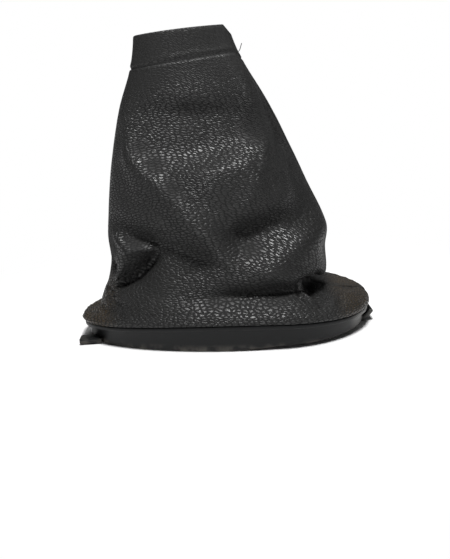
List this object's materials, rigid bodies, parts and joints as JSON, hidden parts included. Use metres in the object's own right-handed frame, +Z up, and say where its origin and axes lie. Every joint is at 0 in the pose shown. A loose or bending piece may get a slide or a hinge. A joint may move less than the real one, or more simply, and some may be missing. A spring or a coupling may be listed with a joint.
{
  "type": "gear lever gaiter",
  "caption": "Leather boot with a flat hemmed collar, sewn from two panels and bonded to an egg-shaped plastic snap-in frame with tongues and a clip.",
  "frame": {"origin": "middle of the bounding box at its base, on the plane of the frame's foot", "axes": "+Z up from the foot to the collar; +X from the frame's narrow end (tongues) to its wide end (clip); -Y the near side"},
  "size_m": [0.1684, 0.1026, 0.174],
  "materials": {
    "frame_plastic": "black, satin matte, scuffed along the foot",
    "leather": "black, coarse pebbled grain, soft sheen",
    "thread": "black sewing thread"
  },
  "bodies": {
    "root": {"base_frame": "frame_plastic", "near_panel": "leather", "far_panel": "leather", "hem_stitching": "thread", "heel_seam_near_stitching": "thread", "heel_seam_far_stitching": "thread", "nose_seam_stitching": "thread"}
  },
  "joints": []
}
